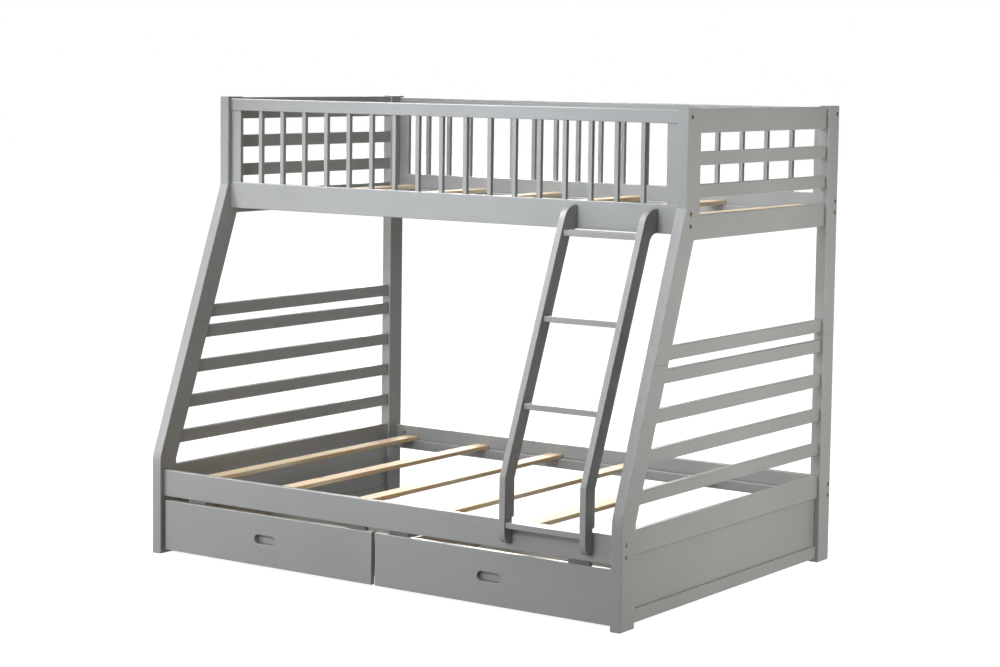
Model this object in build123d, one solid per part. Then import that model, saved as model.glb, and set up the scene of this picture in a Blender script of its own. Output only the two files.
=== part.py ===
from build123d import *
import os
from math import atan2, tan

# Twin-over-full bunk bed in painted pine, with two rolling drawers and a fixed ladder.
#
# Frame: X runs along the bed, the ladder and the drawers face -Y, Z is up.
# The origin is on the floor, midway along the bed and midway between the front of the
# ladder and the back of the posts. All sizes are millimetres.

# ---- Overall sizes ---------------------------------------------------------------
LENGTH = 2005.0            # over the outer faces of the end posts
DEPTH = 1440.0             # over the front and back posts at the floor
HEIGHT = 1656.0            # floor to the tops of the posts

# ---- Posts -----------------------------------------------------------------------
POST_T = 40.0              # along X
BACK_POST_W = 80.0         # along Y
FRONT_POST_W = 85.0        # square to the post's own run
SEAM_Z = 832.0             # where an upper post stands on a lower post
LOW_KNEE_RISE = 48.5       # above the lower rail, a front post leaves the vertical and leans back
HIGH_KNEE_DROP = 8.0       # it stands upright again from this far below the upper rail's top
SETBACK = 364.0            # how far the lean carries the front post back
LOW_KNEE_R = 130.0         # the low knee is rounded, the high one is sharp
POST_EASE = 3.0            # rounding of the posts' long edges
SEAM_EASE = 1.0            # bevel round the seam, and round the drawers' finger slots

# ---- End frames ------------------------------------------------------------------
END_RAIL_IN = 11.0         # end rails lie this far inside the posts' outer faces
END_RAIL_T = 20.0
END_PANEL_IN = 20.5        # the panel lies deeper than its rails
END_PANEL_T = 6.0
PANEL_GROOVE = 8.0         # how deep the panel sits in its rails and posts
PANEL_FIT = 0.15           # clearance round the panel in its grooves
FOOT_GAP = 14.0            # floor to the underside of the bottom rail
BOTTOM_RAIL_H = 44.5
LOWER_TOP_RAIL_RISE = 9.5   # top of the lower end's top rail above the side rails
LOWER_TOP_RAIL_H = 82.0
END_SLAT_H = 45.0
LOWER_SLATS = 4
LOWER_SLAT_FOOT = 75.8     # top rail to the lowest slat
SLAT_BELOW_SEAM = 18.0     # top lower slat to the seam
SLAT_ABOVE_SEAM = 10.5     # seam to the first upper slat
BUNK_RAIL_DROP = 20.0      # underside of the end rail at the upper bed, below the side rails
BUNK_RAIL_H = 82.0
UPPER_SLATS = 2
UPPER_SLAT_DROP = 143.0    # highest slat's top to the posts' tops
UPPER_SLAT_PITCH = 107.0
TOP_RAIL_H = 79.0
TOP_RAIL_DROP = 3.0        # top rail to the posts' tops
MEMBER_EASE = 2.5          # rounding of rails, slats and stiles

# ---- Side rails and their slat ledges --------------------------------------------
RAIL_T = 20.0
LOWER_RAIL_TOP = 307.5
LOWER_RAIL_H = 96.0
UPPER_RAIL_H = 96.0
LOWER_FRONT_IN = 16.0      # lower front rail behind the posts' front faces
UPPER_FRONT_IN = 15.0      # upper front rail behind the posts' front faces
BACK_IN = 7.0              # back rails inside the posts' back faces
LEDGE_T = 20.0
LEDGE_H = 35.0
LEDGE_END_GAP = 48.0       # leaves the nut holes beside the posts free
LEDGE_SCREW_END = 208.5    # outer screws to the ledge's ends
LEDGE_SCREW_STEP = 418.0   # outer screws to the next ones

# ---- Bed slats -------------------------------------------------------------------
BED_SLAT_W = 58.0
BED_SLAT_T = 16.0
BED_SLATS = 6
BED_SLAT_END = 80.0        # middle of the outer slats to the posts
BED_SLAT_GAP = 3.0         # slat ends to the side rails
LOWER_DECK_DROP = 38.5     # slat tops below the lower rails' tops
UPPER_DECK_DROP = 43.0     # slat tops below the upper rails' tops

# ---- Guards ----------------------------------------------------------------------
GUARD_RAIL_H = 44.0
GUARD_RAIL_DROP = 7.0      # guard top to the posts' tops
GUARD_CLEAR = 265.0        # upper side rail to the guard's top rail
STILE_W = 46.0
SPINDLE = 16.0             # square section
SPINDLES = 17
MORTISE = 8.0              # how deep a spindle sits in each rail
SPINDLE_EASE = 1.5

# ---- Ladder ----------------------------------------------------------------------
STRINGER_T = 23.0
STRINGER_W = 55.0          # square to the stringer's own run
LADDER_FROM_POST = 92.0    # middle of the right stringer to the post
LADDER_W = 311.5           # between the middles of the two stringers
LADDER_PROUD = 26.0        # the ladder's upright foot stands this far ahead of the posts
LADDER_KNEE_RISE = 148.5   # above the lower rail's top
LADDER_STANDOFF = 92.0     # ladder front ahead of the upper rail, at the rail's underside
LADDER_FOOT_RISE = 22.0    # above the lower rail's underside
LADDER_TOP_DROP = 15.0     # ladder top below the upper rail's top
LADDER_TOP_R = 70.0
LADDER_THROAT_R = 44.0     # hollow curve under the upper rail
LADDER_TOE_R = 38.0
NOTCH_RISE = 12.5          # the foot's step, above the lower rail's top
RUNGS = 4
FIRST_STEP = 380.0         # from the lowest rung, level with the lower rail, to the next
RUNG_T = 20.0
RUNG_IN = 8.0              # rung front behind the stringer's front edge
RUNG_BACK_IN = 3.0         # rung back inside the stringer's back edge
LADDER_SCREW_R = 3.0
LADDER_SCREW_L = 45.0
LADDER_SCREW_HEAD_R = 7.0
LADDER_SCREW_DROP = 30.0   # screws below the rails' tops
SCREW_HEAD_T = 3.0

# ---- Drawers ---------------------------------------------------------------------
DRAWER_BOTTOM = 14.0       # floor to the drawer front
DRAWER_TOP_GAP = 14.5      # drawer front to the lower rail's underside
DRAWER_SIDE_GAP = 6.5      # drawer front to the post
DRAWER_MIDDLE_GAP = 14.0
DRAWER_FRONT_T = 18.0
DRAWER_EASE = 3.0          # rounding of the drawer front's outer edges
DRAWER_BOX_L = 560.0       # front to back, behind the drawer front
DRAWER_BOX_IN = 22.0       # box sides inside the front's ends
DRAWER_SIDE_T = 12.0
DRAWER_SIDE_DROP = 43.0    # box sides below the front's top
DRAWER_SIDE_FOOT = 13.0    # box sides below the drawer's floor
DRAWER_FLOOR_T = 6.0
FLOOR_GROOVE = 6.0
PULL_W = 97.0              # finger slot through the drawer front
PULL_H = 34.0
PULL_DROP = 89.0           # slot's middle below the drawer front's top
STOP_W = 80.0
STOP_DROP = 29.0           # stop block's height below its ledge
STOP_FROM_ENDS = (44.0, 98.0)  # block edges from the drawer's middle end and post end

# ---- Drawer casters --------------------------------------------------------------
WHEEL_R = 20.0
WHEEL_W = 16.0
WHEEL_EASE = 2.0
AXLE_R = 3.0
AXLE_FIT = 0.06            # running clearance, radial
FORK_PLATE_T = 2.5
FORK_HEADROOM = 4.5        # wheel top to the fork's plate
FORK_PLATE = (46.0, 40.0)
FORK_CHEEK_T = 2.0
FORK_CHEEK_W = 18.0
FORK_GAP = 1.5             # wheel side to cheek
CASTER_IN = (60.0, 55.0)   # caster centres from the box's corner

# ---- Fasteners -------------------------------------------------------------------
BOLT_R = 3.0
BOLT_HOLE_R = 3.4
BOLT_HEAD_R = 7.4
BOLT_HEAD_T = 4.0
BOLT_HEAD_SUNK = 2.0
BOLT_HEAD_HOLE_R = 8.0
BOLT_SPACING = 40.0        # the two bolts in each side rail
NUT_R = 5.0
NUT_L = 12.0
NUT_HOLE_R = 5.2
NUT_HOLE_PAST = 1.0        # nut hole beyond the nut's far end
NUT_FROM_POST = 41.0
BOLT_PAST_NUT = 9.0
THREAD_FIT = 0.05
DOWEL_R = 4.0
DOWEL_L = 50.0
SHORT_DOWEL_L = 30.0
DOWEL_FIT = 0.1
SCREW_FIT = 0.1
LEDGE_SCREW_R = 2.0
LEDGE_SCREW_HEAD_R = 4.0
LEDGE_SCREW_SUNK = 3.0
LEDGE_SCREW_L = 30.0

# ---- Derived places --------------------------------------------------------------
END_X = LENGTH / 2
POST_X = (END_X - POST_T, END_X)
POST_IN_X = POST_X[0]
LADDER_FRONT_Y = -(DEPTH + LADDER_PROUD) / 2
FRONT_Y = LADDER_FRONT_Y + LADDER_PROUD
BACK_Y = FRONT_Y + DEPTH
BACK_POST_Y = (BACK_Y - BACK_POST_W, BACK_Y)
LOWER_RAIL_Z = (LOWER_RAIL_TOP - LOWER_RAIL_H, LOWER_RAIL_TOP)
GUARD_RAIL_TOP = HEIGHT - GUARD_RAIL_DROP
GUARD_RAIL_Z = (GUARD_RAIL_TOP - GUARD_RAIL_H, GUARD_RAIL_TOP)
UPPER_RAIL_TOP = GUARD_RAIL_Z[0] - GUARD_CLEAR
UPPER_RAIL_Z = (UPPER_RAIL_TOP - UPPER_RAIL_H, UPPER_RAIL_TOP)
LOW_KNEE_Z = LOWER_RAIL_TOP + LOW_KNEE_RISE
HIGH_KNEE_Z = UPPER_RAIL_TOP - HIGH_KNEE_DROP
LEAN = atan2(SETBACK, HIGH_KNEE_Z - LOW_KNEE_Z)
KNEE_SHIFT = FRONT_POST_W * tan(LEAN / 2)
FRONT_KNEES = (LOW_KNEE_Z, HIGH_KNEE_Z)
REAR_KNEES = (LOW_KNEE_Z - KNEE_SHIFT, HIGH_KNEE_Z - KNEE_SHIFT)
END_RAIL_X = (END_X - END_RAIL_IN - END_RAIL_T, END_X - END_RAIL_IN)
END_PANEL_X = (END_X - END_PANEL_IN - END_PANEL_T, END_X - END_PANEL_IN)
LOWER_FRONT_Y = (FRONT_Y + LOWER_FRONT_IN, FRONT_Y + LOWER_FRONT_IN + RAIL_T)
UPPER_FRONT_FACE = FRONT_Y + SETBACK + UPPER_FRONT_IN
UPPER_FRONT_Y = (UPPER_FRONT_FACE, UPPER_FRONT_FACE + RAIL_T)
BACK_RAIL_Y = (BACK_Y - BACK_IN - RAIL_T, BACK_Y - BACK_IN)
LOWER_TOP_RAIL_Z = (LOWER_RAIL_TOP + LOWER_TOP_RAIL_RISE - LOWER_TOP_RAIL_H,
                    LOWER_RAIL_TOP + LOWER_TOP_RAIL_RISE)
LOWER_DECK_Z = (LOWER_RAIL_TOP - LOWER_DECK_DROP - BED_SLAT_T, LOWER_RAIL_TOP - LOWER_DECK_DROP)
UPPER_DECK_Z = (UPPER_RAIL_TOP - UPPER_DECK_DROP - BED_SLAT_T, UPPER_RAIL_TOP - UPPER_DECK_DROP)


# ---- Small helpers ---------------------------------------------------------------
def block(x, y, z):
    """A rectangular block between three (low, high) pairs."""
    pairs = [sorted(pair) for pair in (x, y, z)]
    centre = [(low + high) / 2 for low, high in pairs]
    size = [high - low for low, high in pairs]
    return Pos(*centre) * Box(*size)


def board(x, y, z, along, ease=MEMBER_EASE):
    """A block whose four edges along one axis are rounded."""
    blank = block(x, y, z)
    return fillet(blank.edges().filter_by(along), ease)


def rod(radius, start, along, length):
    """A round bar from start towards +X, +Y or +Z."""
    turn = {Axis.X: Rot(0, 90, 0), Axis.Y: Rot(-90, 0, 0), Axis.Z: Rot(0, 0, 0)}[along]
    bar = Cylinder(radius, length, align=(Align.CENTER, Align.CENTER, Align.MIN))
    return Pos(*start) * turn * bar


def slab(points, x, rounds=()):
    """A (Y, Z) outline made solid between two X values. rounds holds (corner, radius) pairs."""
    face = make_face(Polyline(*points, close=True))
    for index, radius in rounds:
        corner = Vector(*points[index])
        face = fillet(face.vertices().sort_by_distance(corner)[0], radius)
    return extrude(Plane.YZ.offset(x[0]) * face, amount=x[1] - x[0])


def middle(pair):
    return (pair[0] + pair[1]) / 2


def mirrored(shape):
    """The same piece at the other end of the bed."""
    return mirror(shape, about=Plane.YZ)


def both_ends(shape):
    return [shape, mirrored(shape)]


def write(name, *shapes):
    """Writes one node. Several shapes stay separate solids of it."""
    solids = [solid for shape in shapes for solid in shape.solids()]
    piece = solids[0] if len(solids) == 1 else Compound(solids)
    export_step(piece, f"parts/{name}.step")


def along_lean(z, foot_y, knees):
    """Y of an edge of the front post at height z."""
    share = (z - knees[0]) / (knees[1] - knees[0])
    return foot_y + SETBACK * min(max(share, 0.0), 1.0)


def front_edge(z):
    return along_lean(z, FRONT_Y, FRONT_KNEES)


def rear_edge(z):
    return along_lean(z, FRONT_Y + FRONT_POST_W, REAR_KNEES)


def edge_points(edge, knees, low, high):
    """Points up a post edge, with any knee between the two heights."""
    heights = [low, *[knee for knee in knees if low < knee < high], high]
    return [(edge(z), z) for z in heights]


# ---- Fasteners: places first, so that every piece they pass through is bored for them
def rail_joints():
    """(Y, Z) of every bolt at one end of the bed."""
    places = []
    for y, z in ((LOWER_FRONT_Y, LOWER_RAIL_Z), (BACK_RAIL_Y, LOWER_RAIL_Z),
                 (UPPER_FRONT_Y, UPPER_RAIL_Z), (BACK_RAIL_Y, UPPER_RAIL_Z)):
        places += [(y, middle(z) - BOLT_SPACING / 2), (y, middle(z) + BOLT_SPACING / 2)]
    places += [(y, middle(GUARD_RAIL_Z)) for y in (UPPER_FRONT_Y, BACK_RAIL_Y)]
    return places


HEAD_X = END_X - BOLT_HEAD_SUNK - BOLT_HEAD_T      # inner side of a bolt's head
NUT_X = POST_IN_X - NUT_FROM_POST
BOLT_END_X = NUT_X - BOLT_PAST_NUT


def bolt(y, z):
    head = rod(BOLT_HEAD_R, (HEAD_X, y, z), Axis.X, BOLT_HEAD_T)
    socket_depth = BOLT_HEAD_T / 2
    hexagon = Pos(HEAD_X + BOLT_HEAD_T - socket_depth, y, z) * Rot(0, 90, 0) * extrude(
        RegularPolygon(BOLT_R, 6), amount=socket_depth)
    shank = rod(BOLT_R, (BOLT_END_X, y, z), Axis.X, HEAD_X - BOLT_END_X)
    return head - hexagon + shank


def bolt_hole(y, z):
    """Clearance for a bolt in post and rail, with a wide mouth for its head."""
    shank = rod(BOLT_HOLE_R, (BOLT_END_X - BOLT_HOLE_R, y, z), Axis.X, END_X - BOLT_END_X)
    mouth = rod(BOLT_HEAD_HOLE_R, (HEAD_X, y, z), Axis.X, END_X - HEAD_X)
    return shank + mouth


def inner_side(rail_y):
    """+1 for a rail whose inner face looks towards +Y, -1 for the back rails."""
    return 1 if middle(rail_y) < 0 else -1


def nut(rail_y, z):
    blank = rod(NUT_R, (NUT_X, middle(rail_y) - NUT_L / 2, z), Axis.Y, NUT_L)
    thread = rod(BOLT_R + THREAD_FIT, (NUT_X - 2 * NUT_R, middle(rail_y), z), Axis.X, 4 * NUT_R)
    return blank - thread


def nut_hole(rail_y, z):
    """Bored from the rail's inner face."""
    depth = (rail_y[1] - rail_y[0] + NUT_L) / 2 + NUT_HOLE_PAST
    start = rail_y[1] - depth if inner_side(rail_y) > 0 else rail_y[0]
    return rod(NUT_HOLE_R, (NUT_X, start, z), Axis.Y, depth)


def dowel_pair(start, along, length=DOWEL_L):
    """A dowel and the hole that holds it, centred on a joint face."""
    offset = {Axis.X: (1, 0, 0), Axis.Y: (0, 1, 0), Axis.Z: (0, 0, 1)}[along]
    low = [place - length / 2 * step for place, step in zip(start, offset)]
    return (rod(DOWEL_R, low, along, length), rod(DOWEL_R + DOWEL_FIT, low, along, length))


def end_members():
    """(name, low, high) of every rail and slat of one end frame."""
    bunk_low = UPPER_RAIL_Z[0] - BUNK_RAIL_DROP
    top_high = HEIGHT - TOP_RAIL_DROP
    members = [("lower_bottom_rail", FOOT_GAP, FOOT_GAP + BOTTOM_RAIL_H),
               ("lower_top_rail", *LOWER_TOP_RAIL_Z),
               ("bunk_rail", bunk_low, bunk_low + BUNK_RAIL_H),
               ("top_rail", top_high - TOP_RAIL_H, top_high)]
    highest = SEAM_Z - SLAT_BELOW_SEAM
    lowest = LOWER_TOP_RAIL_Z[1] + LOWER_SLAT_FOOT + END_SLAT_H
    for number in range(LOWER_SLATS):
        top = lowest + (highest - lowest) * number / (LOWER_SLATS - 1)
        members.append(("lower_slats", top - END_SLAT_H, top))
    first = SEAM_Z + SLAT_ABOVE_SEAM
    members.append(("upper_slats", first, first + END_SLAT_H))
    for number in range(UPPER_SLATS):
        top = HEIGHT - UPPER_SLAT_DROP - number * UPPER_SLAT_PITCH
        members.append(("upper_slats", top - END_SLAT_H, top))
    return members


def end_dowels():
    """Dowels and their holes at both ends of every rail and slat of one end frame."""
    pairs = []
    for _, low, high in end_members():
        height = high - low
        rows = (low + height / 4, high - height / 4) if height > 1.5 * END_SLAT_H else (low + height / 2,)
        for z in rows:
            pairs.append(dowel_pair((middle(END_RAIL_X), rear_edge(z), z), Axis.Y))
            pairs.append(dowel_pair((middle(END_RAIL_X), BACK_POST_Y[0], z), Axis.Y))
    return pairs


def seam_dowels():
    """Two upright dowels in each post seam of one end frame."""
    pairs = []
    for centre, width in ((middle((front_edge(SEAM_Z), rear_edge(SEAM_Z))), FRONT_POST_W),
                          (middle(BACK_POST_Y), BACK_POST_W)):
        for step in (-width / 5, width / 5):
            pairs.append(dowel_pair((middle(POST_X), centre + step, SEAM_Z), Axis.Z))
    return pairs


def stile_dowels():
    """A dowel at the head and the foot of each guard stile of one end."""
    pairs = []
    for y in (UPPER_FRONT_Y, BACK_RAIL_Y):
        for z in (UPPER_RAIL_TOP, GUARD_RAIL_Z[0]):
            pairs.append(dowel_pair((POST_IN_X - STILE_W * 0.7, middle(y), z), Axis.Z, SHORT_DOWEL_L))
    return pairs


# ---- Posts -----------------------------------------------------------------------
def eased_post(blank):
    """Rounds the edges of a post's two broad faces, and bevels the edges round its seam."""
    outline = [edge for edge in blank.edges() if edge.bounding_box().size.X < 0.01
               and abs(edge.center().Z - SEAM_Z) > 0.01]
    rounded = fillet(outline, POST_EASE)
    seam = [face for face in rounded.faces().filter_by(Axis.Z) if abs(face.center().Z - SEAM_Z) < 0.01]
    return chamfer(seam[0].edges(), SEAM_EASE)


def front_post(low, high):
    outline = edge_points(front_edge, FRONT_KNEES, low, high)
    rear = edge_points(rear_edge, REAR_KNEES, low, high)
    rounds = [(1, LOW_KNEE_R)] if low < LOW_KNEE_Z < high else []
    return slab(outline + rear[::-1], POST_X, rounds)


def posts():
    """Right-hand posts by name, bored and grooved."""
    blanks = {"lower_front_post": front_post(0, SEAM_Z),
              "upper_front_post": front_post(SEAM_Z, HEIGHT),
              "lower_back_post": block(POST_X, BACK_POST_Y, (0, SEAM_Z)),
              "upper_back_post": block(POST_X, BACK_POST_Y, (SEAM_Z, HEIGHT))}
    cuts = [bolt_hole(middle(y), z) for y, z in rail_joints()]
    cuts += [hole for _, hole in end_dowels() + seam_dowels()]
    cuts.append(panel_space())
    return {name: eased_post(blank) - cuts for name, blank in blanks.items()}


# ---- End frame pieces --------------------------------------------------------------
def end_member(low, high):
    """A rail or slat from the front post's leaning edge to the back post."""
    outline = edge_points(rear_edge, REAR_KNEES, low, high)
    blank = slab(outline + [(BACK_POST_Y[0], high), (BACK_POST_Y[0], low)], END_RAIL_X)
    return fillet(blank.edges().filter_by(Axis.Y), MEMBER_EASE)


def panel_outline(grow):
    """The end panel's outline, with its tongues, grown by a clearance."""
    low = FOOT_GAP + BOTTOM_RAIL_H - PANEL_GROOVE - grow
    high = LOWER_TOP_RAIL_Z[0] + PANEL_GROOVE + grow
    front = FRONT_Y + FRONT_POST_W - PANEL_GROOVE - grow
    back = BACK_POST_Y[0] + PANEL_GROOVE + grow
    return (front, back), (low, high)


def end_panel():
    y, z = panel_outline(0)
    return block(END_PANEL_X, y, z)


def panel_space():
    """The grooves that hold the panel."""
    y, z = panel_outline(PANEL_FIT)
    return block((END_PANEL_X[0] - PANEL_FIT, END_PANEL_X[1] + PANEL_FIT), y, z)


def end_frame():
    """Right-hand rails, slats and panel by name."""
    holes = [hole for _, hole in end_dowels()]
    pieces = {}
    for name, low, high in end_members():
        cuts = holes + [panel_space()] if name.startswith("lower_") and name.endswith("rail") else holes
        pieces.setdefault(name, []).append(end_member(low, high) - cuts)
    pieces["lower_panel"] = [end_panel()]
    return pieces


# ---- Side rails, ledges and bed slats ----------------------------------------------
def bored_for_joints(rail, rail_y, rail_z):
    """Bolt and nut holes at both ends of a rail."""
    cuts = []
    for y, z in rail_joints():
        if y == rail_y and rail_z[0] < z < rail_z[1]:
            cuts += both_ends(bolt_hole(middle(y), z)) + both_ends(nut_hole(y, z))
    return rail - cuts


def ledge_y(rail_y):
    inner = rail_y[1] if inner_side(rail_y) > 0 else rail_y[0]
    return (inner, inner + inner_side(rail_y) * LEDGE_T)


def ledge_face(rail_y):
    return ledge_y(rail_y)[1]


def ledge_screw(rail_y, x, z, grow=0.0, mouth=0.0):
    """A sunk screw through a ledge into its rail."""
    side = inner_side(rail_y)
    head_y = ledge_face(rail_y) - side * LEDGE_SCREW_SUNK
    seat_y = head_y - side * SCREW_HEAD_T
    tip_y = head_y - side * LEDGE_SCREW_L
    shank = rod(LEDGE_SCREW_R + grow, (x, min(seat_y, tip_y), z), Axis.Y, abs(seat_y - tip_y))
    head_end = head_y + side * mouth
    head = rod(LEDGE_SCREW_HEAD_R + grow, (x, min(head_end, seat_y), z), Axis.Y, abs(head_end - seat_y))
    return shank + head


def screw_hole(rail_y, x, z):
    """Room for a ledge screw, open to the ledge's face."""
    return ledge_screw(rail_y, x, z, SCREW_FIT, LEDGE_SCREW_SUNK)


def ledge(rail_y, deck_z):
    x = (-POST_IN_X + LEDGE_END_GAP, POST_IN_X - LEDGE_END_GAP)
    return board(x, ledge_y(rail_y), (deck_z[0] - LEDGE_H, deck_z[0]), Axis.X)


def screw_places(deck_z):
    outer = POST_IN_X - LEDGE_END_GAP - LEDGE_SCREW_END
    inner = outer - LEDGE_SCREW_STEP
    return [(x, deck_z[0] - LEDGE_H / 2) for x in (-outer, -inner, inner, outer)]


def side_rail(rail_y, rail_z, deck_z, extra_cuts=()):
    rail = board((-POST_IN_X, POST_IN_X), rail_y, rail_z, Axis.X, POST_EASE)
    cuts = [screw_hole(rail_y, x, z) for x, z in screw_places(deck_z)]
    return bored_for_joints(rail, rail_y, rail_z) - cuts - list(extra_cuts)


def bed_slats(front_y, deck_z):
    y = (front_y[1] + BED_SLAT_GAP, BACK_RAIL_Y[0] - BED_SLAT_GAP)
    reach = POST_IN_X - BED_SLAT_END
    slats = []
    for number in range(BED_SLATS):
        centre = -reach + 2 * reach * number / (BED_SLATS - 1)
        x = (centre - BED_SLAT_W / 2, centre + BED_SLAT_W / 2)
        slats.append(board(x, y, deck_z, Axis.Y, MEMBER_EASE))
    return slats


# ---- Guards --------------------------------------------------------------------------
def spindle_places():
    """X of each spindle, with equal gaps between the two stiles."""
    clear = 2 * (POST_IN_X - STILE_W)
    gap = (clear - SPINDLES * SPINDLE) / (SPINDLES + 1)
    first = -clear / 2 + gap + SPINDLE / 2
    return [first + number * (gap + SPINDLE) for number in range(SPINDLES)]


def spindles(rail_y, grow=0.0):
    """The upright bars of a guard, seated in both rails, or the mortises for them."""
    half = SPINDLE / 2 + grow
    z = (UPPER_RAIL_TOP - MORTISE - grow, GUARD_RAIL_Z[0] + MORTISE + grow)
    y = (middle(rail_y) - half, middle(rail_y) + half)
    return [block((x - half, x + half), y, z) for x in spindle_places()]


def stiles(rail_y):
    x = (POST_IN_X - STILE_W, POST_IN_X)
    y = (middle(rail_y) - SPINDLE / 2, middle(rail_y) + SPINDLE / 2)
    stile = board(x, y, (UPPER_RAIL_TOP, GUARD_RAIL_Z[0]), Axis.Z, SPINDLE_EASE)
    return both_ends(stile - [hole for _, hole in stile_dowels()])


def guard_cuts(rail_y):
    dowels = [hole for _, hole in stile_dowels()]
    return spindles(rail_y, DOWEL_FIT) + dowels + [mirrored(hole) for hole in dowels]


def guard_top_rail(rail_y):
    rail = board((-POST_IN_X, POST_IN_X), rail_y, GUARD_RAIL_Z, Axis.X, POST_EASE)
    return bored_for_joints(rail, rail_y, GUARD_RAIL_Z) - guard_cuts(rail_y)


# ---- Ladder --------------------------------------------------------------------------
LADDER_X = (POST_IN_X - LADDER_FROM_POST - LADDER_W, POST_IN_X - LADDER_FROM_POST)
LADDER_KNEE_Z = LOWER_RAIL_TOP + LADDER_KNEE_RISE
LADDER_FOOT_Z = LOWER_RAIL_Z[0] + LADDER_FOOT_RISE
LADDER_LEAN = atan2(UPPER_FRONT_FACE - LADDER_STANDOFF - LADDER_FRONT_Y, UPPER_RAIL_Z[0] - LADDER_KNEE_Z)
LADDER_BACK_KNEE_Z = LADDER_KNEE_Z - STRINGER_W * tan(LADDER_LEAN / 2)


def ladder_front(z):
    return LADDER_FRONT_Y + max(z - LADDER_KNEE_Z, 0) * tan(LADDER_LEAN)


def ladder_back(z):
    return LADDER_FRONT_Y + STRINGER_W + max(z - LADDER_BACK_KNEE_Z, 0) * tan(LADDER_LEAN)


def stringer_outline():
    top = UPPER_RAIL_TOP - LADDER_TOP_DROP
    notch = LOWER_RAIL_TOP + NOTCH_RISE
    throat = UPPER_RAIL_Z[0]
    return [(LOWER_FRONT_Y[0], LADDER_FOOT_Z), (LOWER_FRONT_Y[0], notch), (ladder_back(notch), notch),
            (ladder_back(notch), LADDER_BACK_KNEE_Z), (ladder_back(throat), throat),
            (UPPER_FRONT_FACE, throat), (UPPER_FRONT_FACE, top), (ladder_front(top), top),
            (LADDER_FRONT_Y, LADDER_KNEE_Z), (LADDER_FRONT_Y, LADDER_FOOT_Z)]


THROAT_CORNER, TOP_CORNER, TOE_CORNER = 4, 7, 9


def ladder_screws():
    """(solid, hole) of the screws that hold the stringers to the two front rails."""
    pairs = []
    for x in LADDER_X:
        for rail_y, top in ((LOWER_FRONT_Y, LOWER_RAIL_TOP), (UPPER_FRONT_Y, UPPER_RAIL_TOP)):
            z = top - LADDER_SCREW_DROP
            seat = rail_y[1] - SCREW_HEAD_T
            shank_start = (x, seat - LADDER_SCREW_L, z)
            shank = rod(LADDER_SCREW_R, shank_start, Axis.Y, LADDER_SCREW_L)
            head = rod(LADDER_SCREW_HEAD_R, (x, seat, z), Axis.Y, SCREW_HEAD_T)
            hole = rod(LADDER_SCREW_R + DOWEL_FIT, shank_start, Axis.Y, LADDER_SCREW_L)
            mouth = rod(LADDER_SCREW_HEAD_R + DOWEL_FIT, (x, seat, z), Axis.Y, SCREW_HEAD_T)
            pairs.append((shank + head, hole + mouth))
    return pairs


def rung_tops():
    """The lowest rung is level with the lower rail, the highest with the upper rail's underside."""
    second = LOWER_RAIL_TOP + FIRST_STEP
    step = (UPPER_RAIL_Z[0] - second) / (RUNGS - 2)
    return [LOWER_RAIL_TOP] + [second + number * step for number in range(RUNGS - 1)]


def rung_span(top):
    """Front and back of a rung. It stays inside the stringers and clear of the rails."""
    low = top - RUNG_T
    front = ladder_front(top) + RUNG_IN
    back = ladder_back(low) - RUNG_BACK_IN
    if low < LOWER_RAIL_TOP + NOTCH_RISE:
        front = LADDER_FRONT_Y + RUNG_IN / 2
        back = LOWER_FRONT_Y[0]
    return (front, back)


def rungs():
    x = (LADDER_X[0] + STRINGER_T / 2, LADDER_X[1] - STRINGER_T / 2)
    return [board(x, rung_span(top), (top - RUNG_T, top), Axis.X) for top in rung_tops()]


def rung_dowels():
    pairs = []
    for top in rung_tops():
        span = rung_span(top)
        for y in (span[0] + (span[1] - span[0]) * share for share in (0.3, 0.7)):
            for x in (LADDER_X[0] + STRINGER_T / 2, LADDER_X[1] - STRINGER_T / 2):
                pairs.append(dowel_pair((x, y, top - RUNG_T / 2), Axis.X, SHORT_DOWEL_L))
    return pairs


def stringer(x):
    corners = [(THROAT_CORNER, LADDER_THROAT_R), (TOP_CORNER, LADDER_TOP_R), (TOE_CORNER, LADDER_TOE_R)]
    blank = slab(stringer_outline(), (x - STRINGER_T / 2, x + STRINGER_T / 2), corners)
    outline_edges = [edge for edge in blank.edges() if edge.bounding_box().size.X < 0.01
                     and edge.length > 2 * MEMBER_EASE and edge.center().Z > LOWER_RAIL_TOP + 2 * NOTCH_RISE
                     and edge.center().Y < UPPER_FRONT_FACE - 1]
    eased = fillet(outline_edges, SPINDLE_EASE)
    cuts = [hole for _, hole in ladder_screws() + rung_dowels()]
    return eased - cuts


# ---- Drawers ---------------------------------------------------------------------------
DRAWER_X = (DRAWER_MIDDLE_GAP / 2, POST_IN_X - DRAWER_SIDE_GAP)
DRAWER_FRONT_Y = (LOWER_FRONT_Y[0], LOWER_FRONT_Y[0] + DRAWER_FRONT_T)
DRAWER_FRONT_Z = (DRAWER_BOTTOM, LOWER_RAIL_Z[0] - DRAWER_TOP_GAP)
BOX_X = (DRAWER_X[0] + DRAWER_BOX_IN, DRAWER_X[1] - DRAWER_BOX_IN)
BOX_Y = (DRAWER_FRONT_Y[1], DRAWER_FRONT_Y[1] + DRAWER_BOX_L)
FLOOR_BOTTOM = 2 * WHEEL_R + FORK_HEADROOM + FORK_PLATE_T
FLOOR_Z = (FLOOR_BOTTOM, FLOOR_BOTTOM + DRAWER_FLOOR_T)
DRAWER_SIDE_Z = (FLOOR_BOTTOM - DRAWER_SIDE_FOOT, DRAWER_FRONT_Z[1] - DRAWER_SIDE_DROP)


def drawer_floor(grow=0.0):
    reach = FLOOR_GROOVE - DRAWER_SIDE_T + grow
    x = (BOX_X[0] - reach, BOX_X[1] + reach)
    y = (BOX_Y[0] - reach, BOX_Y[1] + reach)
    return block(x, y, (FLOOR_Z[0] - grow, FLOOR_Z[1] + grow))


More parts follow.
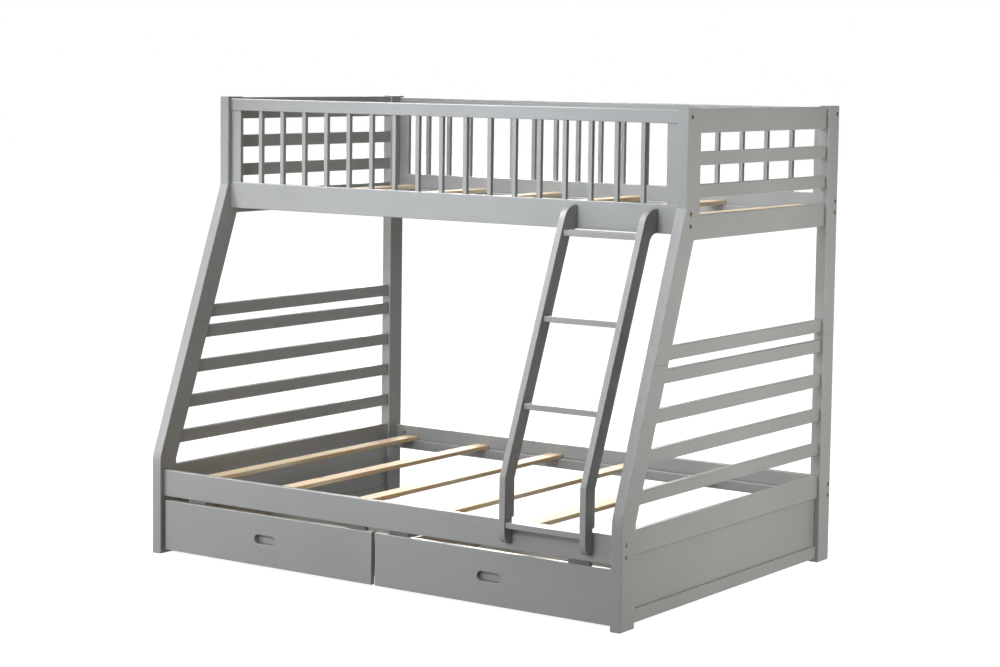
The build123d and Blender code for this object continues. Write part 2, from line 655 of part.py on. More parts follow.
def drawer_front():
    blank = block(DRAWER_X, DRAWER_FRONT_Y, DRAWER_FRONT_Z)
    blank = fillet(blank.edges().filter_by(Axis.Y, reverse=True).group_by(Axis.Y)[0], DRAWER_EASE)
    centre = (middle(DRAWER_X), DRAWER_FRONT_Y[0], DRAWER_FRONT_Z[1] - PULL_DROP)
    slot_plane = Plane(origin=centre, x_dir=(1, 0, 0), z_dir=(0, 1, 0))
    front = blank - extrude(slot_plane * SlotOverall(PULL_W, PULL_H), amount=DRAWER_FRONT_T)
    rim = [edge for edge in front.faces().sort_by(Axis.Y)[0].edges()
           if abs(edge.center().X - centre[0]) < PULL_W and abs(edge.center().Z - centre[2]) < PULL_H]
    return fillet(rim, SEAM_EASE)


def drawer_box():
    """Sides, front and back boards, and floor of the right-hand drawer, by name."""
    inner_x = (BOX_X[0] + DRAWER_SIDE_T, BOX_X[1] - DRAWER_SIDE_T)
    sides = [block((BOX_X[0], inner_x[0]), BOX_Y, DRAWER_SIDE_Z),
             block((inner_x[1], BOX_X[1]), BOX_Y, DRAWER_SIDE_Z)]
    ends = [block(inner_x, (BOX_Y[0], BOX_Y[0] + DRAWER_SIDE_T), DRAWER_SIDE_Z),
            block(inner_x, (BOX_Y[1] - DRAWER_SIDE_T, BOX_Y[1]), DRAWER_SIDE_Z)]
    groove = drawer_floor(PANEL_FIT)
    return {"box_sides": [board - groove for board in sides],
            "box_ends": [board - groove for board in ends],
            "floor": [drawer_floor()]}


def caster_places():
    """Caster centres in X and Y, front row first."""
    xs = (BOX_X[0] + CASTER_IN[0], BOX_X[1] - CASTER_IN[0])
    ys = (BOX_Y[0] + CASTER_IN[1], BOX_Y[1] - CASTER_IN[1])
    return [[(x, y) for x in xs] for y in ys]


def fork(x, y):
    """A pressed fork under the drawer's floor, with the rivet its wheel turns on."""
    top = FLOOR_Z[0]
    plate = Pos(x, y, top - FORK_PLATE_T / 2) * Box(*FORK_PLATE, FORK_PLATE_T)
    inner = WHEEL_W / 2 + FORK_GAP
    cheeks = []
    for side in (-1, 1):
        cheek_x = (x + side * inner, x + side * (inner + FORK_CHEEK_T))
        upright = block(cheek_x, (y - FORK_CHEEK_W / 2, y + FORK_CHEEK_W / 2), (WHEEL_R, top - FORK_PLATE_T))
        end = rod(FORK_CHEEK_W / 2, (min(cheek_x), y, WHEEL_R), Axis.X, FORK_CHEEK_T)
        cheeks.append(upright + end)
    rivet = rod(AXLE_R, (x - inner, y, WHEEL_R), Axis.X, 2 * inner)
    return plate + cheeks + rivet


def wheel(x, y):
    tread = rod(WHEEL_R, (x - WHEEL_W / 2, y, WHEEL_R), Axis.X, WHEEL_W)
    tread = fillet(tread.edges(), WHEEL_EASE)
    return tread - rod(AXLE_R + AXLE_FIT, (x - WHEEL_W, y, WHEEL_R), Axis.X, 2 * WHEEL_W)


def stop_blocks():
    """Blocks under the front ledge that a shut drawer rests against."""
    top = LOWER_DECK_Z[0] - LEDGE_H
    starts = (DRAWER_X[0] + STOP_FROM_ENDS[0], DRAWER_X[1] - STOP_FROM_ENDS[1] - STOP_W)
    spans = [(start, start + STOP_W) for start in starts]
    y = ledge_y(LOWER_FRONT_Y)
    return [board(x, y, (top - STOP_DROP, top), Axis.Y) for x in spans]


# ---- Write every piece -------------------------------------------------------------------
def write_ends():
    for name, post in posts().items():
        write(f"{name}_right", post)
        write(f"{name}_left", mirrored(post))
    for name, pieces in end_frame().items():
        write(f"end_{name}_right", *pieces)
        write(f"end_{name}_left", *[mirrored(piece) for piece in pieces])


def write_sides():
    """Side rails with their ledges, screws and bed slats, then the guards."""
    ladder_cuts = [hole for _, hole in ladder_screws()]
    decks = (("lower", LOWER_RAIL_Z, LOWER_DECK_Z, LOWER_FRONT_Y),
             ("upper", UPPER_RAIL_Z, UPPER_DECK_Z, UPPER_FRONT_Y))
    screws = []
    for level, rail_z, deck_z, front_y in decks:
        ledges = []
        for side, rail_y in (("front", front_y), ("back", BACK_RAIL_Y)):
            cuts = ladder_cuts if side == "front" else []
            if level == "upper":
                cuts = cuts + guard_cuts(rail_y)
            write(f"side_rail_{level}_{side}", side_rail(rail_y, rail_z, deck_z, cuts))
            places = screw_places(deck_z)
            ledges.append(ledge(rail_y, deck_z) - [screw_hole(rail_y, x, z) for x, z in places])
            screws += [ledge_screw(rail_y, x, z) for x, z in places]
        write(f"slat_ledges_{level}", *ledges)
        write(f"bed_slats_{level}", *bed_slats(front_y, deck_z))
    write("ledge_screws", *screws)
    for side, rail_y in (("front", UPPER_FRONT_Y), ("back", BACK_RAIL_Y)):
        write(f"guard_top_rail_{side}", guard_top_rail(rail_y))
        write(f"guard_stiles_{side}", *stiles(rail_y))
        bars = [fillet(bar.edges().filter_by(Axis.Z), SPINDLE_EASE) for bar in spindles(rail_y)]
        write(f"guard_spindles_{side}", *bars)


def write_ladder():
    write("ladder_stringer_left", stringer(LADDER_X[0]))
    write("ladder_stringer_right", stringer(LADDER_X[1]))
    holes = [hole for _, hole in rung_dowels()]
    write("ladder_rungs", *[rung - holes for rung in rungs()])
    write("ladder_screws", *[screw for screw, _ in ladder_screws()])


def write_drawers():
    pieces = {"front": [drawer_front()], **drawer_box()}
    pieces["caster_forks"] = [fork(x, y) for row in caster_places() for x, y in row]
    for row_name, row in zip(("front", "rear"), caster_places()):
        pieces[f"{row_name}_wheels"] = [wheel(x, y) for x, y in row]
    for name, shapes in pieces.items():
        write(f"drawer_right_{name}", *shapes)
        write(f"drawer_left_{name}", *[mirrored(shape) for shape in shapes])
    blocks = stop_blocks()
    write("drawer_stop_blocks", *blocks, *[mirrored(piece) for piece in blocks])


def write_fasteners():
    bolts = [bolt(middle(y), z) for y, z in rail_joints()]
    nuts = [nut(y, z) for y, z in rail_joints()]
    write("frame_bolts", *bolts, *[mirrored(piece) for piece in bolts])
    write("barrel_nuts", *nuts, *[mirrored(piece) for piece in nuts])
    ends = [pin for pin, _ in end_dowels() + seam_dowels() + stile_dowels()]
    write("dowel_pins", *ends, *[mirrored(pin) for pin in ends], *[pin for pin, _ in rung_dowels()])


os.makedirs("parts", exist_ok=True)
write_ends()
write_sides()
write_ladder()
write_drawers()
write_fasteners()
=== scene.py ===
# %% [markdown]
# # A painted bunk bed, part by part
#
# The bed is a full-size bunk below and a twin bunk above, in pine that was sprayed grey.
# Its boards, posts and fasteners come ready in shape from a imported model, so this lesson
# gives them their wood, paint and metal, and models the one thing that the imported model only
# roughs out, which is the caster wheels.

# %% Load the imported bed
import bpy
from math import atan2, cos, pi, radians, sin
from mathutils import Matrix, Vector


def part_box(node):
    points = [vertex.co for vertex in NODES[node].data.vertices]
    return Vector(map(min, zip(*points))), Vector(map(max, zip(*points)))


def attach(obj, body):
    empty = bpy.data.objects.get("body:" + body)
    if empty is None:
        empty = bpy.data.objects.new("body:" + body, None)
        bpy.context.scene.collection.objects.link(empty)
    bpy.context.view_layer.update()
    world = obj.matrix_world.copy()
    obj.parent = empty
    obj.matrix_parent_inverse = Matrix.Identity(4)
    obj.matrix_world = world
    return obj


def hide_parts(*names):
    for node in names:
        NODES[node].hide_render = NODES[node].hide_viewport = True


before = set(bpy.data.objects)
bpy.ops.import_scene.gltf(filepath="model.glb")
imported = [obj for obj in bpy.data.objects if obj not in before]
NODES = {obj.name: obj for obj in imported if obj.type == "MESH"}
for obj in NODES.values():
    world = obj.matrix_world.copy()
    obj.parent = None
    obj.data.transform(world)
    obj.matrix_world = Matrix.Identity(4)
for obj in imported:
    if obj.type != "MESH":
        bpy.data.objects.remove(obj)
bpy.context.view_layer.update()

# %% [markdown]
# ## The camera
#
# A long lens from far away keeps the upright posts almost parallel, as in a catalogue picture.
# The camera stands low, looks almost level and is raised in its frame by a small lens shift,
# which keeps the posts from leaning together. It is built from an aim point, two angles and
# a distance, because those are the numbers that a photographer would set.

# %% Camera
AIM = Vector((0.0323, 0.0, 1.0379))
AZIMUTH = radians(34.69)      # round the bed, from its front towards its right end
ELEVATION = radians(5.11)
DISTANCE = 8.492
ROLL = radians(0.766)
LENS_MM = 84.86
SHIFT_DOWN = 0.06

backward = Vector((sin(AZIMUTH) * cos(ELEVATION), -cos(AZIMUTH) * cos(ELEVATION), sin(ELEVATION)))
camera = bpy.data.objects.new("camera", bpy.data.cameras.new("camera"))
bpy.context.collection.objects.link(camera)
camera.rotation_mode = "QUATERNION"
camera.location = AIM + backward * DISTANCE
camera.rotation_quaternion = backward.to_track_quat("Z", "Y") @ Matrix.Rotation(ROLL, 3, "Z").to_quaternion()
camera.data.lens = LENS_MM
camera.data.sensor_width = 36.0
camera.data.shift_y = -SHIFT_DOWN
camera.data.clip_end = 60.0
bpy.context.scene.camera = camera
print("camera at", [round(v, 3) for v in camera.location])

# %% [markdown]
# ## The studio
#
# The bed stands on a pale paper floor. A studio often curves the paper up into a wall, but a
# flat plane does here, because it is so wide that its far edge is lost against an equally
# pale room and no horizon shows. It is staging, not part of the bed.

# %% Floor
def only_select(*objects):
    """Operators act on all that is selected, so everything else is let go first."""
    bpy.ops.object.select_all(action="DESELECT")
    for piece in objects:
        piece.select_set(True)
    if objects:
        bpy.context.view_layer.objects.active = objects[0]


FLOOR_SIZE = 60.0
only_select()
bpy.ops.mesh.primitive_plane_add(size=FLOOR_SIZE, location=(0, 0, 0))
floor = bpy.context.object
floor.name = "studio_floor"
print("floor", FLOOR_SIZE, "m wide")

# %% [markdown]
# ## Node helper and colours
#
# Every finish below is a small node tree. One function adds a node, sets its values and
# makes its links. Colours are written as the sRGB hex values that an artist would pick, and
# one function turns them to the linear numbers that the shader works in.

# %% Node helper
def linear(hex_colour):
    parts = [int(hex_colour[i:i + 2], 16) / 255 for i in (1, 3, 5)]
    return tuple(c / 12.92 if c <= 0.04045 else ((c + 0.055) / 1.055) ** 2.4 for c in parts) + (1.0,)


def add(tree, kind, settings=None, **inputs):
    """One node. An input is a value, or the output socket that feeds it."""
    node = tree.nodes.new(kind)
    for name, value in (settings or {}).items():
        setattr(node, name, value)
    for name, value in inputs.items():
        key = int(name[1:]) if name[0] == "_" else name.replace("_", " ")
        if isinstance(value, bpy.types.NodeSocket):
            tree.links.new(value, node.inputs[key])
        else:
            node.inputs[key].default_value = value
    return node


def new_material(name):
    """An empty material with its shader, ready for a pattern."""
    material = bpy.data.materials.new(name)
    material.use_nodes = True
    tree = material.node_tree
    shader = tree.nodes["Principled BSDF"]
    return material, tree, shader


def ramp(tree, factor, stops):
    """A colour ramp from (position, colour) pairs."""
    node = add(tree, "ShaderNodeValToRGB", Fac=factor)
    elements = node.color_ramp.elements
    while len(elements) < len(stops):
        elements.new(0.5)
    for element, (position, colour) in zip(elements, stops):
        element.position = position
        element.color = colour
    return node.outputs["Color"]


def grey(value):
    return (value, value, value, 1.0)

# %% [markdown]
# ## Painted pine
#
# Most of the bed is pine under sprayed grey lacquer. Seen close, the lacquer is not flat:
# the softer wood between the growth rings sinks a little as it dries, so fine streaks run
# along every board, with a faint orange-peel texture from the spray gun over them. Light is
# painted into the colour as well: a painted highlight makes the paint a touch paler on rounded
# edges, and painted shade lays a fine dark line where two boards meet. Painted-on edge maps
# could hold both, but both follow any shape by themselves when a bevelled normal finds the
# edges and a short-range occlusion finds the joints. One function builds this finish with its
# streaks turned to the way a board's grain runs.

# %% Painted pine material
MM = 0.001
RING_SPACING = 3.2 * MM       # streaks across the grain, drawn a little coarse so that they show
STREAK_LENGTH = 160 * MM
ORANGE_PEEL = 2.4 * MM
BOARD_TONE = 300 * MM         # slow change of tone over a board
EDGE_REACH = 2.5 * MM
EDGE_HIGHLIGHT = 0.18              # how much painted highlight, a paler grey, shows on a rounded edge
PAINTED_SHADE_REACH = 6 * MM          # how far from a joint the painted shade reaches
DEEPEST_PAINTED_SHADE = 0.45            # the brightness that the painted shade leaves in the deepest joint

GRAIN_TURNS = {
    "along_x": (0, pi / 2, 0),
    "along_y": (pi / 2, 0, 0),
    "along_z": (0, 0, 0),
}


def wood_coordinates(tree, turn, squeeze):
    """Object coordinates turned so that Z runs along the grain, with Z squeezed."""
    place = add(tree, "ShaderNodeTexCoord")
    turned = add(tree, "ShaderNodeMapping", {"vector_type": "POINT"}, Vector=place.outputs["Object"],
                 Rotation=turn)
    return add(tree, "ShaderNodeMapping", {"vector_type": "POINT"}, Vector=turned.outputs[0],
               Scale=(1, 1, squeeze)).outputs[0]


def edge_mask(tree):
    """Near 1 on a rounded edge, 0 on a flat face: how far the bevelled normal turns away."""
    soft = add(tree, "ShaderNodeBevel", {"samples": 4}, Radius=EDGE_REACH)
    flat = add(tree, "ShaderNodeNewGeometry")
    match = add(tree, "ShaderNodeVectorMath", {"operation": "DOT_PRODUCT"}, _0=soft.outputs[0],
                _1=flat.outputs["Normal"])
    turned_away = add(tree, "ShaderNodeMapRange", Value=match.outputs["Value"], From_Min=1.0, From_Max=0.90)
    return turned_away.outputs[0]


def painted_pine(name, turn, light="#A5A6A3", dark="#949592"):
    material, tree, shader = new_material(name)
    grain = wood_coordinates(tree, turn, RING_SPACING / STREAK_LENGTH)
    streaks = add(tree, "ShaderNodeTexNoise", Vector=grain, Scale=1 / RING_SPACING, Detail=3.0, Roughness=0.6)
    plain = add(tree, "ShaderNodeTexCoord").outputs["Object"]
    tone = add(tree, "ShaderNodeTexNoise", Vector=plain, Scale=1 / BOARD_TONE, Detail=1.0)
    peel = add(tree, "ShaderNodeTexNoise", Vector=plain, Scale=1 / ORANGE_PEEL, Detail=1.0)
    blend = add(tree, "ShaderNodeMath", {"operation": "MULTIPLY_ADD"}, _0=streaks.outputs[0], _1=0.45,
                _2=0.28)
    both = add(tree, "ShaderNodeMath", {"operation": "MULTIPLY_ADD"}, _0=tone.outputs[0], _1=0.5,
               _2=blend.outputs[0])
    paint = ramp(tree, both.outputs[0], [(0.35, linear(dark)), (0.95, linear(light))])
    # Painted highlight: a paler grey is mixed into the paint on rounded edges, standing in for the light they
    # catch.
    edge_highlight = add(tree, "ShaderNodeMath", {"operation": "MULTIPLY"}, _0=edge_mask(tree), _1=EDGE_HIGHLIGHT)
    with_edge_highlight = add(tree, "ShaderNodeMix", {"data_type": "RGBA"}, _0=edge_highlight.outputs[0], _6=paint,
               _7=linear("#B4B5B2"))
    # Painted shade: ambient occlusion darkens the paint in joints and creases between boards.
    occlusion = add(tree, "ShaderNodeAmbientOcclusion", {"samples": 6}, Color=with_edge_highlight.outputs[2],
                  Distance=PAINTED_SHADE_REACH)
    shade = add(tree, "ShaderNodeMapRange", Value=occlusion.outputs["AO"], From_Min=0.35, From_Max=0.85,
                To_Min=DEEPEST_PAINTED_SHADE, To_Max=1.0)
    with_painted_shade = add(tree, "ShaderNodeMix", {"data_type": "RGBA", "blend_type": "MULTIPLY"}, _0=1.0,
                 _6=with_edge_highlight.outputs[2], _7=shade.outputs[0])
    tree.links.new(with_painted_shade.outputs[2], shader.inputs["Base Color"])
    satin = add(tree, "ShaderNodeMapRange", Value=streaks.outputs[0], From_Min=0.3, From_Max=0.7,
                To_Min=0.36, To_Max=0.46)
    tree.links.new(satin.outputs[0], shader.inputs["Roughness"])
    shader.inputs["IOR"].default_value = 1.5
    rings = add(tree, "ShaderNodeBump", Height=streaks.outputs[0], Strength=0.10, Distance=0.25 * MM)
    skin = add(tree, "ShaderNodeBump", Height=peel.outputs[0], Strength=0.08, Distance=0.10 * MM,
               Normal=rings.outputs[0])
    tree.links.new(skin.outputs[0], shader.inputs["Normal"])
    return material


def paint(material, *names):
    """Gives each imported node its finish, in every material slot that it has."""
    for name in names:
        for slot in NODES[name].material_slots:
            slot.material = material
    return len(names)


LEAN_BACK = 364 * MM          # how far a front post leans back
LEAN_RISE = 976 * MM          # over this much height
POST_LEAN = atan2(LEAN_BACK, LEAN_RISE)
LONG_NODES = ("side_rail", "guard_top_rail", "slat_ledges", "ladder_rungs", "drawer_stop_blocks")
DRAWER_FACES = [n for n in NODES if n.startswith("drawer") and n.endswith(("_front", "box_ends"))]
ALONG_X = [n for n in NODES if n.startswith(LONG_NODES)] + DRAWER_FACES
ALONG_Y = [n for n in NODES if n.startswith("end_") or n.endswith("box_sides")]
ALONG_Z = [n for n in NODES if n.startswith(("guard_spindles", "guard_stiles")) or "back_post" in n]
LEANING = [n for n in NODES if "front_post" in n or "stringer" in n]
painted = [paint(painted_pine("grey_lacquer_grain_along_x", GRAIN_TURNS["along_x"]), *ALONG_X),
           paint(painted_pine("grey_lacquer_grain_along_y", GRAIN_TURNS["along_y"]), *ALONG_Y),
           paint(painted_pine("grey_lacquer_grain_upright", GRAIN_TURNS["along_z"]), *ALONG_Z),
           paint(painted_pine("grey_lacquer_grain_leaning", (POST_LEAN, 0, 0)), *LEANING)]
print("painted nodes, by grain direction:", painted)

# %% [markdown]
# ## Bare pine slats
#
# The bed slats are planed pine without any finish. What the eye reads as pine is cream wood
# with honey-coloured late-wood lines that run the length of the slat, wander slowly, and part
# round a few brown knots. A wave pattern makes the lines, a slow noise makes them wander,
# and a sparse cell pattern, stretched along the grain, makes the knots.

# %% Bare pine material
LINE_SPACING = 7 * MM
WANDER = 260 * MM
KNOT_SPACING = 170 * MM
PORE = 1.1 * MM


def bare_pine(name, turn, early, late, knot):
    material, tree, shader = new_material(name)
    along = wood_coordinates(tree, turn, 0.12)
    wander = add(tree, "ShaderNodeTexNoise", Vector=along, Scale=0.96 / WANDER, Detail=2.0)
    spots_at = wood_coordinates(tree, turn, 0.45)
    spots = add(tree, "ShaderNodeTexVoronoi", {"feature": "F1"}, Vector=spots_at, Scale=1 / KNOT_SPACING)
    knots = add(tree, "ShaderNodeMapRange", Value=spots.outputs["Distance"], From_Min=0.02, From_Max=0.085,
                To_Min=1.0, To_Max=0.0)
    push = add(tree, "ShaderNodeMath", {"operation": "MULTIPLY_ADD"}, _0=knots.outputs[0], _1=0.25,
               _2=wander.outputs[0])
    shift = add(tree, "ShaderNodeCombineXYZ", X=push.outputs[0], Y=push.outputs[0], Z=0.0)
    bent = add(tree, "ShaderNodeVectorMath", {"operation": "MULTIPLY_ADD"}, _0=shift.outputs[0],
               _1=(0.10, 0.10, 0), _2=along)
    rings = add(tree, "ShaderNodeTexWave", {"wave_type": "BANDS", "bands_direction": "X"},
                Vector=bent.outputs[0], Scale=0.16 / LINE_SPACING, Distortion=2.2, Detail=2.0,
                Detail_Scale=0.8)
    pores = add(tree, "ShaderNodeTexNoise", Vector=along, Scale=1 / PORE, Detail=2.0)
    lines = add(tree, "ShaderNodeMath", {"operation": "MULTIPLY_ADD"}, _0=pores.outputs[0], _1=0.35,
                _2=rings.outputs["Fac"])
    wood = ramp(tree, lines.outputs[0], [(0.25, linear(early)), (1.0, linear(late))])
    dark = add(tree, "ShaderNodeMix", {"data_type": "RGBA"}, _0=knots.outputs[0], _6=wood, _7=linear(knot))
    tree.links.new(dark.outputs[2], shader.inputs["Base Color"])
    shader.inputs["Roughness"].default_value = 0.62
    bump = add(tree, "ShaderNodeBump", Height=lines.outputs[0], Strength=0.12, Distance=0.2 * MM)
    tree.links.new(bump.outputs[0], shader.inputs["Normal"])
    return material


paint(bare_pine("bare_planed_pine", GRAIN_TURNS["along_y"], "#FFEED0", "#F2CE9C", "#A1713F"),
      "bed_slats_lower", "bed_slats_upper")
paint(bare_pine("thin_plywood", GRAIN_TURNS["along_x"], "#D8C09A", "#C2A379", "#93704A"),
      "drawer_left_floor", "drawer_right_floor")
paint(bare_pine("beech_pins", GRAIN_TURNS["along_y"], "#CFA67C", "#BA8E62", "#8A6240"), "dowel_pins")
print("bare wood: slats, drawer floors, pins")

# %% [markdown]
# ## Metals and nylon
#
# The bolts are bronzed steel, the screws, nuts and caster forks are bright zinc, and both have
# the faint crystal mottling of plating. The wheels are black nylon, moulded, so slightly
# rough and a little dusty. One function plates and one moulds, because a metal's colour is its
# reflection, while nylon's is under a clear surface.

# %% Metal and nylon materials
PLATING = 1.6 * MM


def plated(name, light, dark, rough):
    material, tree, shader = new_material(name)
    plain = add(tree, "ShaderNodeTexCoord").outputs["Object"]
    mottle = add(tree, "ShaderNodeTexNoise", Vector=plain, Scale=1 / PLATING, Detail=2.0)
    colour = ramp(tree, mottle.outputs[0], [(0.35, linear(dark)), (0.65, linear(light))])
    tree.links.new(colour, shader.inputs["Base Color"])
    satin = add(tree, "ShaderNodeMapRange", Value=mottle.outputs[0], From_Min=0.3, From_Max=0.7,
                To_Min=rough - 0.06, To_Max=rough + 0.06)
    tree.links.new(satin.outputs[0], shader.inputs["Roughness"])
    shader.inputs["Metallic"].default_value = 1.0
    return material


paint(plated("bright_zinc_plate", "#C9CACB", "#A9ABAD", 0.34), "barrel_nuts", "ladder_screws",
      "ledge_screws", "drawer_left_caster_forks", "drawer_right_caster_forks")
paint(plated("bronzed_steel", "#B7A283", "#7C6A52", 0.34), "frame_bolts")


def moulded(name, colour, dust, rough):
    material, tree, shader = new_material(name)
    plain = add(tree, "ShaderNodeTexCoord").outputs["Object"]
    speck = add(tree, "ShaderNodeTexNoise", Vector=plain, Scale=1 / PLATING, Detail=3.0)
    shade = ramp(tree, speck.outputs[0], [(0.45, linear(colour)), (0.75, linear(dust))])
    tree.links.new(shade, shader.inputs["Base Color"])
    shader.inputs["Roughness"].default_value = rough
    bump = add(tree, "ShaderNodeBump", Height=speck.outputs[0], Strength=0.1, Distance=0.1 * MM)
    tree.links.new(bump.outputs[0], shader.inputs["Normal"])
    return material


NYLON = moulded("black_moulded_nylon", "#1B1C1E", "#2C2D2F", 0.48)
print("metals and nylon done")

# %% [markdown]
# ## Caster wheels
#
# Under each drawer run four small casters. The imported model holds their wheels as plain
# discs, and the real ones are moulded nylon: a rounded tread, a thin web dished in from both
# sides and a boss that runs on the rivet. A wheel could be a cylinder with inset faces, but a
# turned part is most simply drawn as half of its section and spun round its axle, so the
# section starts as a plane, gets its dish and its rounded tread, and is spun all the way.

# %% Wheel section, spun
WHEEL_R = 20 * MM
WHEEL_HALF_W = 8 * MM
BORE_R = 3.06 * MM
DISH_IN = 0.35                # the web keeps this share of the wheel's width
TREAD_ROUND = 2.2 * MM
HAIR = 0.01 * MM


def choose(mesh, test):
    """In edit mode, selects the vertices that pass a test, and the edges between them."""
    bpy.ops.mesh.select_mode(type="VERT")
    bpy.ops.mesh.select_all(action="DESELECT")
    bpy.ops.object.mode_set(mode="OBJECT")
    for vertex in mesh.vertices:
        vertex.select = bool(test(vertex.co))
    bpy.ops.object.mode_set(mode="EDIT")
    bpy.ops.mesh.select_mode(type="VERT")


def model_wheel():
    """One caster wheel, its axle on the X axis."""
    only_select()
    bpy.ops.mesh.primitive_plane_add(size=1, location=(0, (BORE_R + WHEEL_R) / 2, 0))
    wheel = bpy.context.object
    bpy.ops.transform.resize(value=(2 * WHEEL_HALF_W, WHEEL_R - BORE_R, 1))
    bpy.ops.object.transform_apply(location=True, rotation=False, scale=True)
    bpy.ops.object.mode_set(mode="EDIT")
    bpy.ops.mesh.select_all(action="SELECT")
    bpy.ops.mesh.delete(type="ONLY_FACE")
    for side in (-1, 1):
        choose(wheel.data, lambda co: co.x * side > WHEEL_HALF_W - HAIR)
        bpy.ops.mesh.subdivide(number_cuts=5)
    step = (WHEEL_R - BORE_R) / 6
    choose(wheel.data, lambda co: BORE_R + 1.5 * step < co.y < WHEEL_R - 1.5 * step)
    bpy.ops.transform.resize(value=(DISH_IN, 1, 1))
    choose(wheel.data, lambda co: co.y > WHEEL_R - HAIR)
    bpy.ops.mesh.bevel(offset=TREAD_ROUND, segments=3, affect="VERTICES")
    bpy.ops.mesh.select_all(action="SELECT")
    bpy.ops.mesh.spin(steps=48, angle=2 * pi, center=(0, 0, 0), axis=(1, 0, 0))
    bpy.ops.mesh.select_all(action="SELECT")
    bpy.ops.mesh.remove_doubles(threshold=HAIR)
    bpy.ops.mesh.normals_make_consistent(inside=False)
    bpy.ops.object.mode_set(mode="OBJECT")
    bpy.ops.object.shade_smooth_by_angle(angle=radians(35))
    wheel.data.materials.append(NYLON)
    return wheel


def copy_to(pattern, name, place):
    """A copy with its own mesh, moved to a place, its origin left at the world's."""
    copy = pattern.copy()
    copy.data = pattern.data.copy()
    copy.name = name
    bpy.context.collection.objects.link(copy)
    only_select(copy)
    bpy.ops.transform.translate(value=place)
    bpy.ops.object.transform_apply(location=True, rotation=False, scale=False)
    return copy


first_wheel = model_wheel()
wheels = []
for node in [n for n in NODES if n.endswith("_wheels")]:
    low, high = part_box(node)
    axle_y = (low[1] + high[1]) / 2
    for end, axle_x in (("left", low[0] + WHEEL_HALF_W), ("right", high[0] - WHEEL_HALF_W)):
        wheel = copy_to(first_wheel, f"{node}_{end}", (axle_x, axle_y, WHEEL_R))
        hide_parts(node)
        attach(wheel, node)
        wheels.append(wheel)
only_select(first_wheel)
bpy.ops.object.delete()
print("caster wheels:", len(wheels), "of", len(wheels[0].data.polygons), "faces")

# %% [markdown]
# ## Light
#
# The bed is lit as furniture is for a catalogue. A wide white ceiling lights every top face.
# A cool softbox high in front gives the upper guard its brighter, bluer face and drops off
# towards the floor, where a low, faintly warm fill and a softbox on the left take over. A weak
# one high in front reaches over the guard to the far inner faces of the upper bunk. One behind
# keeps the back from going black, and stands on the left so that less of it reaches the inner
# faces of the left end. One light could not do all of this, as each face has its own tone.
#
# Two lights are more special. The edge strip shows only in reflections, so it draws glints
# along rounded edges and adds nothing to the diffuse tone of the paint. The right softbox is
# flagged, as a photographer does with black card: it reaches only the right end, the bolts
# and the floor, so that the ladder's sides stay dark. Light linking does the card's work.
#
# The floor is a pale glowing sheet, so it reads as white, and it is hidden from bounced light,
# so that faces turned away stay dark. The room is dim and brightest towards the front left,
# but the camera sees it as plain white.

# %% Floor finish
FLOOR_GLOW = 0.94
FIBRE = 40 * MM
paper, paper_tree, paper_shader = new_material("pale_studio_paper")
fibres = add(paper_tree, "ShaderNodeTexNoise", Vector=add(paper_tree, "ShaderNodeTexCoord").outputs["Object"],
             Scale=1 / FIBRE, Detail=3.0)
paper_tree.links.new(ramp(paper_tree, fibres.outputs[0], [(0.3, grey(0.25)), (0.7, grey(0.26))]),
                     paper_shader.inputs["Base Color"])
paper_shader.inputs["Roughness"].default_value = 0.9
paper_shader.inputs["Specular IOR Level"].default_value = 0.0
paper_shader.inputs["Emission Color"].default_value = grey(1.0)
paper_shader.inputs["Emission Strength"].default_value = FLOOR_GLOW
floor.data.materials.append(paper)
floor.visible_diffuse = False

# %% Lights
def lamp(name, kind, place, aim, energy, colour, **shape):
    """One light at a place, turned to face an aim point."""
    light = bpy.data.objects.new(name, bpy.data.lights.new(name, kind))
    bpy.context.collection.objects.link(light)
    light.location = place
    light.rotation_mode = "QUATERNION"
    light.rotation_quaternion = (Vector(aim) - Vector(place)).to_track_quat("-Z", "Y")
    light.data.energy = energy
    light.data.color = colour
    for setting, value in shape.items():
        setattr(light.data, setting, value)
    return light


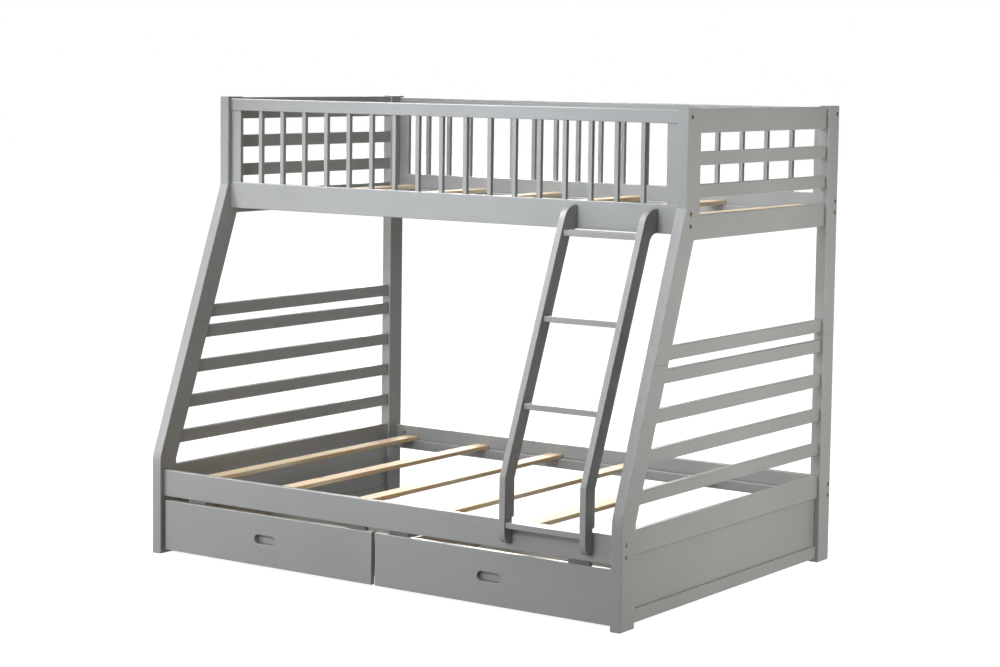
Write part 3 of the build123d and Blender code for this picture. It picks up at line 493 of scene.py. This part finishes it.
lamp("ceiling", "SUN", (0, 0, 6), (0.2, 0.5, 0), 1.25, (1.0, 1.0, 0.99), angle=radians(50))
lamp("front_softbox", "AREA", (0.20, -3.3, 2.0), (0.10, -0.35, 1.5), 14, (0.88, 0.91, 1.0),
     shape="RECTANGLE", size=1.1, size_y=0.7, spread=radians(80))
lamp("left_softbox", "AREA", (-2.1, -2.0, 1.0), (-0.95, -0.5, 0.40), 8, (0.96, 0.97, 1.0),
     shape="RECTANGLE", size=0.8, size_y=1.4, spread=radians(110))
lamp("low_fill", "AREA", (-0.8, -4.2, 0.5), (0.0, -0.6, 0.2), 9, (1.0, 0.99, 0.965),
     shape="RECTANGLE", size=2.4, size_y=0.6)
edge_strip = lamp("edge_strip", "AREA", (-2.6, -1.3, 3.9), (0.0, -0.5, 0.5), 450, (1.0, 1.0, 1.0),
                  shape="RECTANGLE", size=2.2, size_y=1.6)
edge_strip.visible_diffuse = False
lamp("inner_softbox", "AREA", (0.25, -0.8, 2.9), (0.25, 0.7, 1.5), 5, (0.82, 0.88, 1.0),
     shape="RECTANGLE", size=1.4, size_y=0.5, spread=radians(90))
lamp("back_softbox", "AREA", (-2.2, 3.2, 1.8), (0.0, 0.7, 0.9), 55, (1.0, 0.99, 0.97),
     shape="RECTANGLE", size=1.4, size_y=1.6, spread=radians(120))
end_lamp = lamp("right_softbox", "AREA", (2.7, 0.15, 1.1), (1.0, 0.1, 0.95), 30, (1.0, 0.99, 0.97),
                shape="RECTANGLE", size=1.4, size_y=1.9)
lit_end = bpy.data.collections.new("right_end")
for name in NODES:
    if name.endswith("_right") and name.startswith(("end_", "lower_", "upper_")):
        lit_end.objects.link(NODES[name])
lit_end.objects.link(NODES["frame_bolts"])
lit_end.objects.link(floor)
end_lamp.light_linking.receiver_collection = lit_end

# %% Room
KEY_SIDE = Vector((-0.60, -0.70, 0.39)).normalized()
DIMMEST = 0.025
BRIGHTEST = 0.42
world = bpy.data.worlds.new("pale_room")
bpy.context.scene.world = world
world.use_nodes = True
room = world.node_tree
room.nodes.clear()
direction = add(room, "ShaderNodeTexCoord").outputs["Generated"]
towards_key = add(room, "ShaderNodeVectorMath", {"operation": "DOT_PRODUCT"}, _0=direction, _1=KEY_SIDE)
dim_light = add(room, "ShaderNodeMapRange", Value=towards_key.outputs["Value"], From_Min=-0.2, From_Max=1.0,
                To_Min=DIMMEST, To_Max=BRIGHTEST)
camera_ray = add(room, "ShaderNodeLightPath").outputs["Is Camera Ray"]
glow = add(room, "ShaderNodeMix", {"data_type": "FLOAT"}, _0=camera_ray, _2=dim_light.outputs[0], _3=1.0)
add(room, "ShaderNodeOutputWorld",
    Surface=add(room, "ShaderNodeBackground", Color=grey(1.0), Strength=glow.outputs[0]).outputs[0])
bpy.context.scene.view_settings.view_transform = "Standard"
